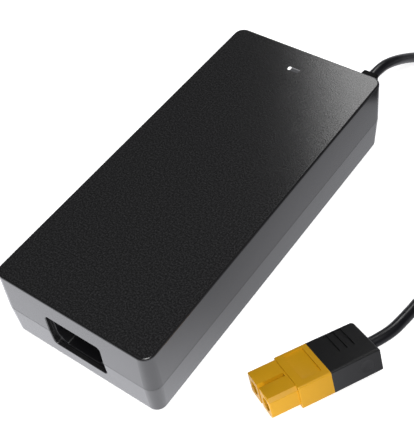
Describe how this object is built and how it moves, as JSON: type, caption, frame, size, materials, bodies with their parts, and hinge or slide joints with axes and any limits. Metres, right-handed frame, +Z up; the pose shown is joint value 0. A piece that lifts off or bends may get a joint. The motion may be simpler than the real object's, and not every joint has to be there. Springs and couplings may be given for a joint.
{
  "type": "battery charger",
  "caption": "Flat rectangular mains battery charger with a recessed appliance inlet at one end and a flexible output lead ending in a two-pole plug.",
  "frame": {"origin": "on the surface the feet stand on, under the middle of the case", "axes": "+Z up; -Y is the end with the mains inlet; +Y is the end the output lead leaves"},
  "size_m": [0.154, 0.2538, 0.0385],
  "materials": {
    "case_plastic": "black, fine-textured top and smooth semi-gloss sides",
    "inlet_plastic": "smooth black",
    "window_plastic": "translucent grey",
    "foot_rubber": "matt black",
    "steel": "zinc-plated",
    "contact_brass": "bright",
    "blade_metal": "nickel-plated",
    "board": "green solder resist",
    "sheet_plastic": "milky film",
    "wire_live": "brown sleeve",
    "wire_neutral": "blue sleeve",
    "wire_earth": "green and yellow sleeve",
    "wire_red": "red sleeve",
    "wire_black": "black sleeve",
    "fuse_glass": "clear",
    "thermistor_coat": "dark green coating",
    "disc_coat": "blue coating",
    "film_box": "yellow moulding",
    "ferrite_green": "green coated ferrite",
    "powder_core": "grey coated powder core",
    "ferrite_dark": "bare dark ferrite",
    "copper": "enamelled copper",
    "bobbin_plastic": "black moulding",
    "package_plastic": "black epoxy",
    "sink_metal": "plain",
    "can_sleeve": "dark blue sleeve",
    "pad_silicone": "grey silicone",
    "lens_red": "tinted epoxy",
    "lens_green": "tinted epoxy",
    "lead_jacket": "glossy black jacket",
    "relief_rubber": "satin black",
    "plug_yellow": "satin yellow nylon",
    "plug_black": "satin black nylon"
  },
  "bodies": {
    "root": {"top_case": "case_plastic", "bottom_case": "case_plastic", "light_pipe": "window_plastic", "rubber_feet": "foot_rubber", "case_screws": "steel", "inlet_housing": "inlet_plastic", "inlet_line_blades": "blade_metal", "inlet_earth_blade": "blade_metal", "live_wire": "wire_live", "neutral_wire": "wire_neutral", "earth_wire": "wire_earth", "circuit_board": "board", "board_screws": "steel", "insulation_sheet": "sheet_plastic", "fuse_tube": "fuse_glass", "fuse_caps": "blade_metal", "fuse_clips": "contact_brass", "inrush_thermistor": "thermistor_coat", "varistor": "disc_coat", "y_capacitors": "disc_coat", "x_capacitor": "film_box", "choke_core": "ferrite_green", "choke_winding": "copper", "choke_base": "bobbin_plastic", "bridge_rectifier": "package_plastic", "boost_inductor_core": "powder_core", "boost_inductor_winding": "copper", "bulk_capacitor": "can_sleeve", "switch_transistors": "package_plastic", "primary_heatsink": "sink_metal", "transformer_core": "ferrite_dark", "transformer_bobbin": "bobbin_plastic", "transformer_winding": "copper", "transformer_base": "bobbin_plastic", "output_rectifiers": "package_plastic", "secondary_heatsink": "sink_metal", "heatsink_screws": "steel", "thermal_pads": "pad_silicone", "heat_spreader": "sink_metal", "output_capacitors": "can_sleeve", "output_choke_core": "powder_core", "output_choke_winding": "copper", "shunt_resistor": "blade_metal", "optocouplers": "package_plastic", "control_board": "board", "control_header": "bobbin_plastic", "charge_controller": "package_plastic", "charging_light": "lens_red", "charged_light": "lens_green", "light_holder": "bobbin_plastic", "output_wire_positive": "wire_red", "output_wire_negative": "wire_black", "strain_relief": "relief_rubber", "lead_from_case": "lead_jacket", "lead_coil": "lead_jacket", "lead_to_plug": "lead_jacket", "plug_housing": "plug_yellow", "plug_cover": "plug_black", "plug_contacts": "contact_brass", "plug_wires": "wire_red"}
  },
  "joints": []
}
